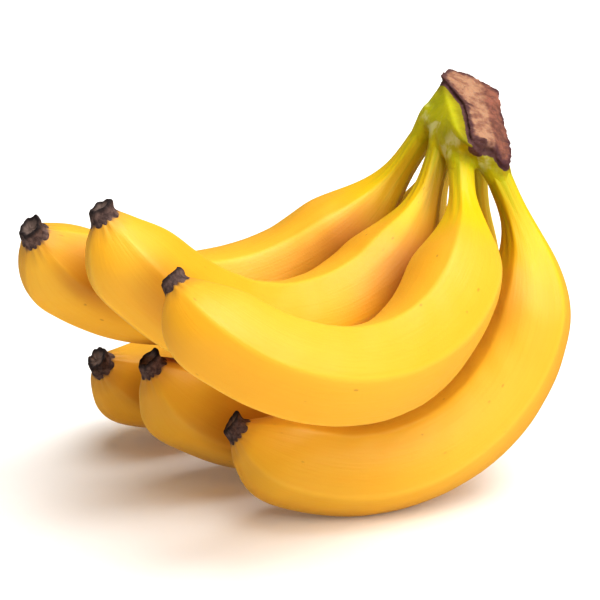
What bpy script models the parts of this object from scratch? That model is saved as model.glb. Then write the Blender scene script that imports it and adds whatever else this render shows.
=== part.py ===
"""A hand of six ripe bananas lying on its three lower fingers.

Six fingers grow in two rows from one crown that was cut off the stalk. Each
finger is one node, from its slim pedicel to the end of its skin, and carries
the dried stub of its blossom as a second node. The hand is shaped in its own
frame, with its crown towards +X and its fingers curling towards -X, and is then
laid down so that its mass sits as low as the lower row of fingers allows.
"""

import math
from itertools import combinations

import bmesh
import bpy
import numpy as np
from mathutils import Matrix, Vector

MM = 0.001

# Driving dimensions of a finger.
FINGER_LENGTH = 213.0 * MM      # along the middle of the finger, without its dried stub
BODY_RADIUS = 19.4 * MM         # to the ridges, at the fullest part
PEDICEL_RADIUS = 5.2 * MM
PEDICEL_LENGTH = 21.5 * MM
SHOULDER_LENGTH = 41.0 * MM     # from the pedicel to the full body
TAPER_LENGTH = 30.0 * MM        # from the full body to the blossom end
END_RADIUS = 5.1 * MM           # of the flat blossom end
STUB_LENGTH = 4.8 * MM          # of the dried blossom stub
STUB_LEAN = 0.30                # how far the stub leans inwards for each unit of its length

# Proportions of a finger.
NECK_SWELL = 1.05               # radius at the pedicel's lower end over PEDICEL_RADIUS
TAPER_POWER = 2.0
FLATNESS = 0.32                 # 0 is a round section, 1 a sharp pentagon
SHOULDER_EASE = 0.6             # share of the shoulder's rise that eases in and out
BEND_START = 0.04               # share of the length before any bending
STRAIGHT_END = 0.14             # share of the length over which bending fades in and out
END_BEND = 0.35                 # bending left at the blossom end over the body's bending
RIDGES = 5

# Driving dimensions of the crown.
WEB = 2.8 * MM                  # flesh between two pedicels of a row, at their roots
ROW_OVERLAP = 0.4 * MM          # how far the rows close up on each other
ROW_AZIMUTH = math.radians(7.0)     # of the rows, from +Y towards +X
ROW_SLOPE = math.radians(6.8)       # the rows fall towards the front
OUTER_DROP = math.radians(16.0)     # the outer row's roots lie lower than the inner row's
ROOT_HEIGHT = 128.0 * MM
ROOT_REACH = 72.0 * MM
CUT_HEIGHT = 11.6 * MM          # from the middle of the roots to the middle of the cut
CUT_LENGTH = 55.0 * MM
CUT_WIDTH = 23.0 * MM
CUT_BACK = 2.5 * MM             # the cut's middle lies this far behind the roots' middle
CUT_OUT = 3.0 * MM              # and this far outside it
CUT_SPARE = 1.5 * MM            # flesh above the cut, which the knife takes off
CUT_AZIMUTH = math.radians(17.0)
CUT_BLUNTNESS = 0.55            # power of the outline's sine and cosine: 1 is an oval
CUT_NORMAL = Vector((0.20, -0.35, 0.91)).normalized()
BEVEL_NORMAL = Vector((0.50, -0.62, 0.60)).normalized()
BEVEL_REACH = 6.5 * MM          # from the middle of the cut to the second, steeper cut
COLLAR_WALL = 1.0 * MM          # of the crown around each pedicel
COLLAR_DEPTH = 1.6 * MM         # of the pedicel inside its collar

# Clearances.
SEAT_GAP = 0.3 * MM             # between pieces that touch
TOUCH_GAP = 0.35 * MM           # between fingers that lean on each other
SWING_TOLERANCE = 0.003 * MM
SWING_ROUNDS = 300
MOST_TILT = math.radians(15.0)
VALLEY_TOLERANCE = math.radians(0.02)

# Fineness.
RINGS = 34                      # rings along a finger
FINE_STEPS = 6                  # stations of a finger's middle line for each ring
SIDES = 20                      # corners of a ring
STUB_SIDES = 15
CUT_SIDES = 24
SHARP_ANGLE = math.radians(40.0)

# Each finger: name, row (-1 inner and upper, 1 outer and lower), place along its
# row in root spacings (front is positive), root lift in mm, then in degrees its
# heading, lean, slope at the root, bend and roll of its ridges, and last its
# bend's lead towards the root and its length over FINGER_LENGTH.
FINGERS = (
    ("finger_upper_back", -1, -1.11, 1.1, 1.5, 10.0, -57.5, 106.0, 16.0, 0.10, 0.99),
    ("finger_upper_middle", -1, -0.24, 1.2, 7.5, -18.5, -58.0, 124.5, 7.0, -0.07, 0.98),
    ("finger_upper_front", -1, 0.85, -1.6, 12.0, -47.0, -58.0, 137.0, -19.0, -0.70, 1.005),
    ("finger_lower_front", 1, 1.39, 1.3, -14.5, -19.5, -109.0, 145.0, -12.0, 0.02, 0.99),
    ("finger_lower_middle", 1, 0.21, -0.9, -10.5, -1.5, -92.5, 143.5, -4.0, -0.21, 1.025),
    ("finger_lower_back", 1, -1.15, -1.1, -6.5, 17.0, -79.5, 119.5, 9.0, -0.70, 1.008),
)

STATIONS = FINE_STEPS * (RINGS - 1) + 1
STEPS = np.linspace(0.0, 1.0, STATIONS)


def smooth(value):
    """Ease from 0 to 1."""
    clipped = np.clip(value, 0.0, 1.0)
    return clipped * clipped * (3.0 - 2.0 * clipped)


# ---------------------------------------------------------------- finger shape

def bend_share(lead):
    """Share of the finger's bend that lies before each station."""
    fade_in = smooth((STEPS - BEND_START) / STRAIGHT_END)
    fade_out = END_BEND + (1.0 - END_BEND) * smooth((1.0 - STEPS) / STRAIGHT_END)
    rate = fade_in * fade_out * (1.0 + 2.0 * lead * (0.5 - STEPS))
    total = np.concatenate([[0.0], np.cumsum(0.5 * (rate[1:] + rate[:-1]))])
    return total / total[-1]


def ring_radii(length):
    """Radius to the ridges at each station."""
    along = STEPS * length
    neck = PEDICEL_RADIUS * (1.0 + (NECK_SWELL - 1.0) * np.clip(along / PEDICEL_LENGTH, 0.0, 1.0))
    rise = np.clip((along - PEDICEL_LENGTH) / SHOULDER_LENGTH, 0.0, 1.0)
    shoulder = SHOULDER_EASE * smooth(rise) + (1.0 - SHOULDER_EASE) * rise
    body = neck + (BODY_RADIUS - neck) * shoulder
    taper = np.clip(1.0 - (length - along) / TAPER_LENGTH, 0.0, 1.0) ** TAPER_POWER
    return body - (body - END_RADIUS) * taper


def finger_frames(heading, lean, slope, bend, lead, length):
    """Stations' places from the root, their tangents and their inner directions."""
    forward = np.array([-math.cos(heading), -math.sin(heading), 0.0])
    side = np.array([math.sin(heading), -math.cos(heading), 0.0])
    inward = np.array([0.0, 0.0, 1.0]) * math.cos(lean) + side * math.sin(lean)
    angle = slope + bend * bend_share(lead)
    tangents = np.cos(angle)[:, None] * forward + np.sin(angle)[:, None] * inward
    inners = np.cos(angle)[:, None] * inward - np.sin(angle)[:, None] * forward
    steps = 0.5 * (tangents[1:] + tangents[:-1]) * length / (STATIONS - 1)
    places = np.vstack([np.zeros(3), np.cumsum(steps, axis=0)])
    return places, tangents, inners


def section(radius):
    """One ring's corners: distances from the middle, and angles from the first ridge."""
    angles = 2.0 * math.pi * np.arange(SIDES) / SIDES
    half_side = math.pi / RIDGES
    from_flat = (angles % (2.0 * half_side)) - half_side
    pentagon = math.cos(half_side) / np.cos(from_flat)
    full = smooth((radius - PEDICEL_RADIUS) / (BODY_RADIUS - PEDICEL_RADIUS))
    return radius * (1.0 - FLATNESS * full * (1.0 - pentagon)), angles


def finger_mesh(finger):
    """Loft the rings into one closed skin with flat ends."""
    mesh = bpy.data.meshes.new(finger["name"])
    work = bmesh.new()
    rings = []
    first_ridge = finger["roll"] + math.pi / RIDGES
    for station in range(0, STATIONS, FINE_STEPS):
        place, tangent, inner, radius = (
            finger[key][station] for key in ("places", "tangents", "inners", "radii"))
        across = np.cross(tangent, inner)
        reach, angles = section(radius)
        turns = angles + first_ridge
        corners = place + reach[:, None] * (
            np.cos(turns)[:, None] * inner + np.sin(turns)[:, None] * across)
        rings.append([work.verts.new(corner) for corner in corners])
    for lower, upper in zip(rings, rings[1:]):
        for corner in range(SIDES):
            after = (corner + 1) % SIDES
            work.faces.new((lower[corner], lower[after], upper[after], upper[corner]))
    work.faces.new(rings[0][::-1])
    work.faces.new(rings[-1])
    bmesh.ops.recalc_face_normals(work, faces=work.faces)
    work.to_mesh(mesh)
    work.free()
    return mesh


# ---------------------------------------------------------------- the hand's layout

def row_axes():
    """The direction along the rows, towards the front, and across them, outwards."""
    along = np.array([
        -math.sin(ROW_AZIMUTH) * math.cos(ROW_SLOPE),
        -math.cos(ROW_AZIMUTH) * math.cos(ROW_SLOPE),
        -math.sin(ROW_SLOPE)])
    across = np.array([
        math.cos(ROW_AZIMUTH) * math.cos(OUTER_DROP),
        -math.sin(ROW_AZIMUTH) * math.cos(OUTER_DROP),
        -math.sin(OUTER_DROP)])
    return along, across


def root_place(row, place, lift):
    """Where a pedicel leaves the crown."""
    along, across = row_axes()
    pitch = 2.0 * PEDICEL_RADIUS + WEB
    apart = 2.0 * PEDICEL_RADIUS - ROW_OVERLAP
    middle = np.array([ROOT_REACH, 0.0, ROOT_HEIGHT])
    return middle + along * pitch * place + across * apart * row / 2.0 + np.array([0.0, 0.0, lift])


def grow_finger(name, row, place, lift, heading, lean, slope, bend, roll, lead, stretch):
    """A finger as it would grow with nothing beside it."""
    length = FINGER_LENGTH * stretch
    angles = [math.radians(value) for value in (heading, lean, slope, bend)]
    places, tangents, inners = finger_frames(*angles, lead, length)
    return {
        "name": name,
        "root": root_place(row, place, lift * MM),
        "places": places,
        "tangents": tangents,
        "inners": inners,
        "radii": ring_radii(length),
        "roll": math.radians(roll),
        "turn": Matrix.Identity(3),
    }


def turned(finger, key):
    """A finger's rows of vectors, turned as the finger is."""
    return finger[key] @ np.array(finger["turn"]).T


def middle_line(finger):
    return finger["root"] + turned(finger, "places")


def swing(finger, station, move):
    """Turn a finger about its root so that one station moves about that far."""
    arm = Vector(middle_line(finger)[station] - finger["root"])
    axis = arm.cross(Vector(move))
    if axis.length > 0.0:
        angle = axis.length / arm.length_squared
        finger["turn"] = Matrix.Rotation(angle, 3, axis) @ finger["turn"]


def closest(one, other):
    """The stations where two fingers come closest, the way across, and the gap between them."""
    sparse = slice(0, STATIONS, FINE_STEPS // 2)
    line_one = middle_line(one)[sparse]
    line_other = middle_line(other)[sparse]
    apart = line_other[None, :, :] - line_one[:, None, :]
    distance = np.linalg.norm(apart, axis=2)
    gaps = distance - one["radii"][sparse, None] - other["radii"][None, sparse]
    here, there = np.unravel_index(gaps.argmin(), gaps.shape)
    across = apart[here, there] / distance[here, there]
    return here * sparse.step, there * sparse.step, across, gaps[here, there]


def lean_apart(fingers):
    """Swing crowded fingers about their roots until they only lean on each other."""
    for _ in range(SWING_ROUNDS):
        crowded = False
        for one, other in combinations(fingers, 2):
            here, there, across, gap = closest(one, other)
            short = TOUCH_GAP - gap
            if short > SWING_TOLERANCE:
                crowded = True
                swing(one, here, across * short * -0.5)
                swing(other, there, across * short * 0.5)
        if not crowded:
            return


def mass_centre(fingers):
    """The middle of the hand's mass, from the fingers' sections and the crown's block."""
    moment = CUT_LENGTH * CUT_WIDTH * CUT_HEIGHT * np.array(crown_middle(fingers))
    mass = CUT_LENGTH * CUT_WIDTH * CUT_HEIGHT
    for finger in fingers:
        line = middle_line(finger)
        step = np.linalg.norm(line[1] - line[0])
        slices = [math.pi * step * np.mean(section(radius)[0] ** 2) for radius in finger["radii"]]
        moment = moment + (line * np.array(slices)[:, None]).sum(axis=0)
        mass += sum(slices)
    return moment / mass


def lowest(height, low, high):
    """Where a function with one valley is lowest."""
    while high - low > VALLEY_TOLERANCE:
        third = (high - low) / 3.0
        if height(low + third) < height(high - third):
            high -= third
        else:
            low += third
    return (low + high) / 2.0


def tilt(pitch, roll):
    return Matrix.Rotation(pitch, 3, "Y") @ Matrix.Rotation(roll, 3, "X")


def resting_turn(fingers):
    """The tilt that brings the hand's mass lowest over the surface under it."""
    lines = np.vstack([middle_line(finger) for finger in fingers])
    reach = np.concatenate([finger["radii"] for finger in fingers])
    centre = mass_centre(fingers)

    def mass_height(pitch, roll):
        rise = np.array(tilt(pitch, roll))[2]
        return centre @ rise - (lines @ rise - reach).min()

    def best_roll(pitch):
        return lowest(lambda roll: mass_height(pitch, roll), -MOST_TILT, MOST_TILT)

    pitch = lowest(lambda value: mass_height(value, best_roll(value)), -MOST_TILT, MOST_TILT)
    return tilt(pitch, best_roll(pitch))


# ---------------------------------------------------------------- objects

def material(name, colour, roughness):
    made = bpy.data.materials.new(name)
    made.use_nodes = True
    made.diffuse_color = (*colour, 1.0)
    shader = made.node_tree.nodes["Principled BSDF"]
    shader.inputs["Base Color"].default_value = (*colour, 1.0)
    shader.inputs["Roughness"].default_value = roughness
    shader.inputs["Metallic"].default_value = 0.0
    return made


def place_object(name, mesh, collection, holder, location=(0.0, 0.0, 0.0), turn=None):
    made = bpy.data.objects.new(name, mesh)
    collection.objects.link(made)
    made.parent = holder
    made.rotation_mode = "QUATERNION"
    made.location = location
    if turn is not None:
        made.rotation_quaternion = turn
    return made


def shade(mesh):
    mesh.shade_smooth()
    mesh.set_sharp_from_angle(angle=SHARP_ANGLE)


def make_finger(finger, collection, holder, skin):
    mesh = finger_mesh(finger)
    mesh.materials.append(skin)
    shade(mesh)
    return place_object(finger["name"], mesh, collection, holder, finger["root"],
                        finger["turn"].to_quaternion())


def stub_mesh(name):
    """A dried blossom stub: a turned, slightly flared peg with a dished end, leaning along +X."""
    profile = (
        (0.0, 0.0), (0.86, 0.0), (0.84, 0.34), (1.00, 0.62), (0.93, 0.84), (0.70, 0.98),
        (0.35, 1.02), (0.0, 0.94))
    mesh = bpy.data.meshes.new(name)
    work = bmesh.new()
    corners = [work.verts.new((out * END_RADIUS, 0.0, up * STUB_LENGTH)) for out, up in profile]
    edges = [work.edges.new(pair) for pair in zip(corners, corners[1:])]
    bmesh.ops.spin(work, geom=corners + edges, cent=(0.0, 0.0, 0.0), axis=(0.0, 0.0, 1.0),
                   angle=2.0 * math.pi, steps=STUB_SIDES, use_merge=True)
    bmesh.ops.remove_doubles(work, verts=work.verts, dist=0.01 * MM)
    lean = Matrix.Identity(4)
    lean[0][2] = STUB_LEAN
    bmesh.ops.transform(work, matrix=lean, verts=work.verts)
    bmesh.ops.recalc_face_normals(work, faces=work.faces)
    work.to_mesh(mesh)
    work.free()
    return mesh


def make_stub(finger, collection, holder, dried):
    name = finger["name"].replace("finger", "blossom_tip")
    mesh = stub_mesh(name)
    mesh.materials.append(dried)
    shade(mesh)
    outward = Vector(turned(finger, "tangents")[-1]).normalized()
    inward = Vector(turned(finger, "inners")[-1])
    inward = (inward - outward * inward.dot(outward)).normalized()
    turn = Matrix((inward, outward.cross(inward), outward)).transposed().to_quaternion()
    seat = Vector(middle_line(finger)[-1]) + outward * SEAT_GAP
    return place_object(name, mesh, collection, holder, seat, turn)


def ring_points(centre, axis, radius, sides):
    """Corners of a round ring about an axis."""
    turn = axis.to_track_quat("Z", "Y")
    points = []
    for corner in range(sides):
        angle = 2.0 * math.pi * corner / sides
        points.append(centre + turn @ Vector((radius * math.cos(angle), radius * math.sin(angle), 0.0)))
    return points


def growth_axis(finger):
    """The direction from a pedicel's root into the crown."""
    return -Vector(turned(finger, "tangents")[0]).normalized()


def crown_middle(fingers):
    return sum((Vector(finger["root"]) for finger in fingers), Vector()) / len(fingers)


def blunted(value):
    return math.copysign(abs(value) ** CUT_BLUNTNESS, value)


def cut_outline(middle):
    """The crown's outline where it was cut: an oval with blunt ends, in the cut's plane."""
    along = Vector((math.sin(CUT_AZIMUTH), math.cos(CUT_AZIMUTH), 0.0))
    along = (along - CUT_NORMAL * along.dot(CUT_NORMAL)).normalized()
    across = along.cross(CUT_NORMAL)
    points = []
    for corner in range(CUT_SIDES):
        angle = 2.0 * math.pi * corner / CUT_SIDES
        reach = blunted(math.cos(angle)) * CUT_LENGTH / 2.0 + CUT_BACK
        width = blunted(math.sin(angle)) * CUT_WIDTH / 2.0 + CUT_OUT
        points.append(middle + along * reach + across * width)
    return points


def hull_mesh(name, points):
    mesh = bpy.data.meshes.new(name)
    work = bmesh.new()
    for point in points:
        work.verts.new(point)
    hull = bmesh.ops.convex_hull(work, input=work.verts)
    loose = {item for item in hull["geom_interior"] + hull["geom_unused"]
             if isinstance(item, bmesh.types.BMVert)}
    bmesh.ops.delete(work, geom=list(loose), context="VERTS")
    bmesh.ops.recalc_face_normals(work, faces=work.faces)
    work.to_mesh(mesh)
    work.free()
    return mesh


def peg_mesh(name, radius, low, high, sides):
    """A round peg along Z from low to high."""
    mesh = bpy.data.meshes.new(name)
    work = bmesh.new()
    middle = Matrix.Translation((0.0, 0.0, (low + high) / 2.0))
    bmesh.ops.create_cone(work, cap_ends=True, segments=sides, radius1=radius, radius2=radius,
                          depth=high - low, matrix=middle)
    work.to_mesh(mesh)
    work.free()
    return mesh


def subtract(target, tool):
    step = target.modifiers.new(tool.name, "BOOLEAN")
    step.operation = "DIFFERENCE"
    step.object = tool
    step.solver = "EXACT"


def make_tool(name, mesh, tools, holder, location, turn):
    tool = place_object(name, mesh, tools, holder, location, turn)
    tool.hide_render = True
    tool.display_type = "WIRE"
    return tool


def sink_seats(crown, fingers, tools, holder):
    """Bore the seat of each pedicel into the crown."""
    for finger in fingers:
        turn = growth_axis(finger).to_track_quat("Z", "Y")
        hole = peg_mesh("seat", PEDICEL_RADIUS * NECK_SWELL + SEAT_GAP, -PEDICEL_LENGTH, SEAT_GAP, SIDES)
        seat = make_tool("seat_" + finger["name"], hole, tools, holder, finger["root"], turn)
        subtract(crown, seat)


def trim_crown(crown, middle, tools, holder):
    """Slice the crown off along its two flat knife cuts."""
    slab = 80.0 * MM
    cuts = (
        ("knife_cut", CUT_NORMAL, middle),
        ("knife_bevel", BEVEL_NORMAL, middle + Vector((BEVEL_REACH, 0.0, 0.0))),
    )
    for name, normal, through in cuts:
        mesh = bpy.data.meshes.new(name)
        work = bmesh.new()
        bmesh.ops.create_cube(work, size=slab, matrix=Matrix.Translation((0.0, 0.0, slab / 2.0)))
        work.to_mesh(mesh)
        work.free()
        knife = make_tool(name, mesh, tools, holder, through, normal.to_track_quat("Z", "Y"))
        subtract(crown, knife)


def make_crown(fingers, collection, tools, holder, flesh):
    """The hull of the pedicels' collars and the cut's outline, bored for the pedicels and cut."""
    middle = crown_middle(fingers) + CUT_NORMAL * CUT_HEIGHT
    points = cut_outline(middle + CUT_NORMAL * CUT_SPARE)
    for finger in fingers:
        upward = growth_axis(finger)
        collar = Vector(finger["root"]) - upward * COLLAR_DEPTH
        points += ring_points(collar, upward, PEDICEL_RADIUS + COLLAR_WALL, SIDES)
    mesh = hull_mesh("crown", points)
    mesh.materials.append(flesh)
    crown = place_object("crown", mesh, collection, holder)
    sink_seats(crown, fingers, tools, holder)
    trim_crown(crown, middle, tools, holder)
    shade(crown.data)
    return crown


def stand_on_origin(holder, parts):
    """Move the whole hand so that its box stands centred on the origin."""
    bpy.context.view_layer.update()
    graph = bpy.context.evaluated_depsgraph_get()
    corners = []
    for part in parts:
        shaped = part.evaluated_get(graph)
        corners += [shaped.matrix_world @ vertex.co for vertex in shaped.data.vertices]
    low = [min(corner[axis] for corner in corners) for axis in range(3)]
    high = [max(corner[axis] for corner in corners) for axis in range(3)]
    holder.location -= Vector(((low[0] + high[0]) / 2.0, (low[1] + high[1]) / 2.0, low[2]))


def new_collection(name):
    made = bpy.data.collections.new(name)
    bpy.context.scene.collection.children.link(made)
    return made


def main():
    for item in list(bpy.data.objects):
        bpy.data.objects.remove(item, do_unlink=True)
    bunch = new_collection("banana_bunch")
    tools = new_collection("cutters")
    fingers = [grow_finger(*row) for row in FINGERS]
    lean_apart(fingers)

    holder = bpy.data.objects.new("resting_pose", None)
    bunch.objects.link(holder)
    holder.rotation_mode = "QUATERNION"
    holder.rotation_quaternion = resting_turn(fingers).to_quaternion()

    skin = material("ripe_skin", (0.90, 0.56, 0.06), 0.42)
    dried = material("dried_blossom", (0.09, 0.06, 0.05), 0.80)
    flesh = material("crown_flesh", (0.33, 0.18, 0.12), 0.75)
    parts = [make_crown(fingers, bunch, tools, holder, flesh)]
    for finger in fingers:
        parts.append(make_finger(finger, bunch, holder, skin))
        parts.append(make_stub(finger, bunch, holder, dried))
    stand_on_origin(holder, parts)


main()
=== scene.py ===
"""The looks of a hand of six ripe bananas lying on a white surface.

Each finger's skin is shaped again, finely, round the middle line and the widths of
its CAD finger. The crown's skin is grown over the CAD crown and the pedicels' roots.
"""

import math

import bmesh
import bpy
import numpy as np
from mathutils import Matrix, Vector, noise
from mathutils.bvhtree import BVHTree


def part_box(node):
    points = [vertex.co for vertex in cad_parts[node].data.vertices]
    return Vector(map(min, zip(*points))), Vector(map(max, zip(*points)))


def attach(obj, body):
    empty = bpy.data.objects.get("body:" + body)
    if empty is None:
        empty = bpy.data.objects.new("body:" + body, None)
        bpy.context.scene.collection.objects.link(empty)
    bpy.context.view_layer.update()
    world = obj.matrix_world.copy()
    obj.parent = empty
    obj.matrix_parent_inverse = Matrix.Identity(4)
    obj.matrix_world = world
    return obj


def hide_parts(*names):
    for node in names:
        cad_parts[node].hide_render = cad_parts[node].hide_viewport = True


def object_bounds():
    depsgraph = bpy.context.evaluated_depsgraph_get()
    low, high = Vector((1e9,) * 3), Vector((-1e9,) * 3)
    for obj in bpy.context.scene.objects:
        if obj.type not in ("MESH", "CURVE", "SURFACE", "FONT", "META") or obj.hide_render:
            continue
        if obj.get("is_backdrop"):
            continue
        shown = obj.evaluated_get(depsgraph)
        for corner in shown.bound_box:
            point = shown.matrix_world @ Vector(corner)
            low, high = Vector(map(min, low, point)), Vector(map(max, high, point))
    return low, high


MM = 0.001

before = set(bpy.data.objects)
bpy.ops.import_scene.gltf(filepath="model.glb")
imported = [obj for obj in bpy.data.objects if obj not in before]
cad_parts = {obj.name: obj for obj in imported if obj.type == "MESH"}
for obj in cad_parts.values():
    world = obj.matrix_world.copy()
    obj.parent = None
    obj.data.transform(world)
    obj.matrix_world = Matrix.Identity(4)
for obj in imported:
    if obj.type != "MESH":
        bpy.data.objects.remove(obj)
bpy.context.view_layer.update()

# Fineness of the skins.
FINGER_RINGS = 300
FINGER_SIDES = 144
STUB_RINGS = 40
STUB_SIDES = 96
CROWN_VOXEL = 0.38 * MM
SLICE_STEP = 3.0 * MM
SLICE_REACH = 27.0 * MM
MOST_SLICES = 120
FEWEST_CROSSED = 30             # edges that a plane right across a finger crosses at the least
REFININGS = 4

# Shape of a finger.
RIDGES = 5
ROUNDING = 13.0                 # power of the five flats' blend: more is sharper
BODY_FLATNESS = 0.62
NECK_FLATNESS = 0.80
PEDICEL_FLATNESS = 0.55
RIDGE_LINE = 0.12 * MM
ROOT_OVERLAP = 4.0 * MM         # how far a pedicel goes on inside the crown
TIP_BULGE = 3.3 * MM            # fullness of the outer side near the blossom end
TIP_BULGE_AT = 14.0 * MM
TIP_BULGE_WIDTH = 11.5 * MM
THIN_RADIUS = 5.5 * MM          # no lumps where the finger is thinner
FULLER_BY = 13.0 * MM           # all lumps where it is thicker by this
BODY_START = 18.0 * MM          # from the root, where the pedicel's section gives way to the body's
BODY_BLEND = 16.0 * MM
NECK_END = 44.0 * MM
NECK_BLEND = 26.0 * MM
TIP_ROUNDER = 0.35              # how much rounder the section is at the blossom end
TIP_ROUNDER_FROM = 14.0 * MM
RIDGE_JITTER = 0.07             # radians
TWIST = math.radians(2.5)
CREST_WIDTH = math.radians(3.2)
HOLLOW_WIDTH = math.radians(9.0)
HOLLOW_DEPTH = 0.10 * MM        # beside a ridge line
RIDGE_START = 14.0 * MM
RIDGE_START_BLEND = 20.0 * MM
RIDGE_STOP_BLEND = 10.0 * MM
SWELLING = 0.25 * MM            # over the CAD skin, to stand for what the flats take away
LUMP_HEIGHT = 0.28 * MM
RIPPLE_HEIGHT = 0.05 * MM
FURROW_HEIGHT = 0.10 * MM       # along the pedicel
FURROW_END = 30.0 * MM
FURROW_BLEND = 20.0 * MM
DENTS = 7
PUCKER_FROM = 9.0 * MM          # from the blossom end, where the skin draws together
PUCKER_HEIGHT = 0.22 * MM
PUCKER_SWELLING = 0.03
TOUCH_FULL = 2.2 * MM           # skins nearer than this are pressed together
TOUCH_NONE = 6.5 * MM           # skins farther than this are left as they are
TOUCH_ROOT = 30.0 * MM          # no pressing nearer than this to the root
CREASE_REACH = 26.0 * MM        # how far a neighbour still deepens the painted crease shade
FACING_FROM = 0.05              # cosine between outward and the way to the neighbour
FACING_SPAN = 0.5
GIRTH = 17.0 * MM               # radius of the straight cylinder that the peel's grain lies on

# Blossom stubs.
STUB_RADIUS_MM = 4.9
STUB_HEIGHT = 3.2 * MM          # over which the stub takes on its own shape
STUB_LEAN = 0.30
HORN_SHARE = 0.55
STUB_FURROW = 0.09 * MM
STUB_RAGGED = 0.16 * MM
# The rim's pointed corners: degrees round the stub, height in mm, width in degrees.
HORNS = {
    "finger_upper_back": ((15.0, 2.0, 22.0), (150.0, 0.5, 30.0), (265.0, 0.5, 30.0)),
    "finger_upper_middle": ((75.0, 1.1, 20.0), (300.0, 0.9, 22.0), (180.0, 0.3, 30.0)),
    "finger_upper_front": ((60.0, 1.5, 20.0), (285.0, 1.5, 20.0), (180.0, 0.2, 30.0)),
    "finger_lower_front": ((40.0, 0.9, 22.0), (220.0, 0.5, 30.0)),
    "finger_lower_middle": ((25.0, 1.1, 22.0), (150.0, 0.4, 26.0), (270.0, 0.5, 26.0)),
    "finger_lower_back": ((30.0, 1.4, 22.0), (210.0, 0.4, 30.0)),
}

# Crown, in mm from the middle of the CAD crown. The cut is the plane whose slopes are
# CUT_SLOPE_X and CUT_SLOPE_Y over CUT_UP.
CUT_SLOPE_X = 0.20
CUT_SLOPE_Y = 0.35
CUT_UP = 0.91
CUT_PLANE = 4.65                # distance of the knife cut from the middle
CAP_RAISED = 1.5                # how far the dried cap stands over the cut
CAP_BOTTOM = -2.4
CUT_NORMAL = Vector((CUT_SLOPE_X, -CUT_SLOPE_Y, CUT_UP)).normalized()
BEVEL_SIDE = Vector((0.83, -0.36, 0.0)).normalized()
FACES_CUT = 0.45                # cosine above which a cap face looks out with the cut
FACES_BEVEL = 0.35
SOFT_VOXEL = 0.45 * MM
SOFT_SMOOTHINGS = 40
CAP_SMOOTHINGS = 7
ROOT_SIDES = 32
ROOT_RINGS = 22
DRIED_MARGIN = 1.15 * MM        # how far the dried skin reaches past the cap's corners
RAGGED = 0.35 * MM

# Camera, looking at a point over the floor's middle.
CAMERA_AZIMUTH = math.radians(-28.68)
CAMERA_ELEVATION = math.radians(20.39)
CAMERA_DISTANCE = 1.2021
CAMERA_LENS = 187.74
CAMERA_RIGHT = 0.03 * MM
CAMERA_UP = 4.77 * MM
CAMERA_HEIGHT = 75.02 * MM

# Colours, linear.
PEEL_GOLD = (0.830, 0.405, 0.022)
PEEL_YELLOW = (0.820, 0.450, 0.036)
PEEL_FIBRE = (0.790, 0.360, 0.018)
# Painted highlight: a paler yellow for the ridge crests.
PEEL_CREST_HIGHLIGHT = (0.930, 0.560, 0.060)
PEEL_CREASE_SHADE = (0.42, 0.20, 0.03)      # painted shade in the creases between fingers, times the peel's colour
TIP_HALO = (0.520, 0.240, 0.040)
TIP_RIM = (0.120, 0.060, 0.045)
SPECK_BROWN = (0.300, 0.130, 0.020)
RUB_BROWN = (0.560, 0.300, 0.050)
NECK_GOLD = (0.820, 0.500, 0.004)
NECK_LEMON = (0.700, 0.485, 0.003)
NECK_LIME = (0.450, 0.440, 0.005)
NECK_STREAK = (0.420, 0.460, 0.010)
STUB_DARK = (0.055, 0.032, 0.029)
STUB_GREY = (0.160, 0.098, 0.082)
STUB_RIM = (0.012, 0.008, 0.009)
STUB_CUP = (0.210, 0.150, 0.125)
CROWN_OLIVE = (0.380, 0.375, 0.006)
CROWN_LIME = (0.500, 0.460, 0.008)
CROWN_KNUCKLE_HIGHLIGHT = (0.720, 0.700, 0.360)
CROWN_SHADE = (0.62, 0.52, 0.60)      # times the crown's green
FLESH_BROWN = (0.250, 0.112, 0.074)
FLESH_TAN = (0.450, 0.248, 0.150)
MAUVE_DARK = (0.150, 0.062, 0.046)
MAUVE_LIGHT = (0.300, 0.118, 0.078)
FLESH_STAIN = (0.130, 0.052, 0.045)
CAP_RIM = (0.062, 0.024, 0.033)
PAPER_LOW = (0.915, 0.905, 0.895)
PAPER_HIGH = (0.930, 0.925, 0.920)
PAPER_GLOW = (1.0, 0.97, 0.94, 1.0)
PAPER_GLOW_STRENGTH = 0.07
SKIN_SCATTER = (2.5 * MM, 1.0 * MM, 0.3 * MM)
CROWN_SCATTER = (4.0 * MM, 1.6 * MM, 0.5 * MM)

# Light.
WORLD_STRENGTH = 0.15
WORLD_COLOUR = (1.0, 0.985, 0.965, 1.0)
KEY_STRENGTH = 2.3
KEY_FROM = (1.0, 0.02, 0.20)    # above, ahead of the camera, to its right
KEY_SOFTNESS = 56.0             # degrees
KEY_COLOUR = (1.0, 0.985, 0.955)
FILL_STRENGTH = 2.15
FILL_FROM = (0.85, -0.55, 0.55)
FILL_SOFTNESS = 54.0
FILL_COLOUR = (1.0, 0.99, 0.97)


def smooth(value):
    """0 to 1 with level ends."""
    clipped = np.clip(value, 0.0, 1.0)
    return clipped * clipped * (3.0 - 2.0 * clipped)


def bell(value):
    """A bump of height 1 round 0."""
    return np.exp(-np.square(value))


# ---------------------------------------------------------------- reading the CAD

def merged(node):
    """A CAD node's mesh with the corners that its sharp edges split joined again."""
    work = bmesh.new()
    work.from_mesh(node.data)
    bmesh.ops.remove_doubles(work, verts=work.verts, dist=0.004 * MM)
    work.normal_update()
    return work


def root_end(work):
    """Middle of a finger's flat root end, the one with a sharp rim, and the way into the finger."""
    sharp = [edge for edge in work.edges if edge.calc_face_angle(0.0) > math.radians(60.0)]
    at_rim = {vertex for edge in sharp for vertex in edge.verts}
    corners = np.array([vertex.co[:] for vertex in work.verts if vertex in at_rim])
    middle = corners.mean(axis=0)
    direction = np.linalg.svd(corners - middle)[2][2]
    whole = np.mean([vertex.co[:] for vertex in work.verts], axis=0)
    return middle, direction * np.sign(direction @ (whole - middle))


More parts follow.
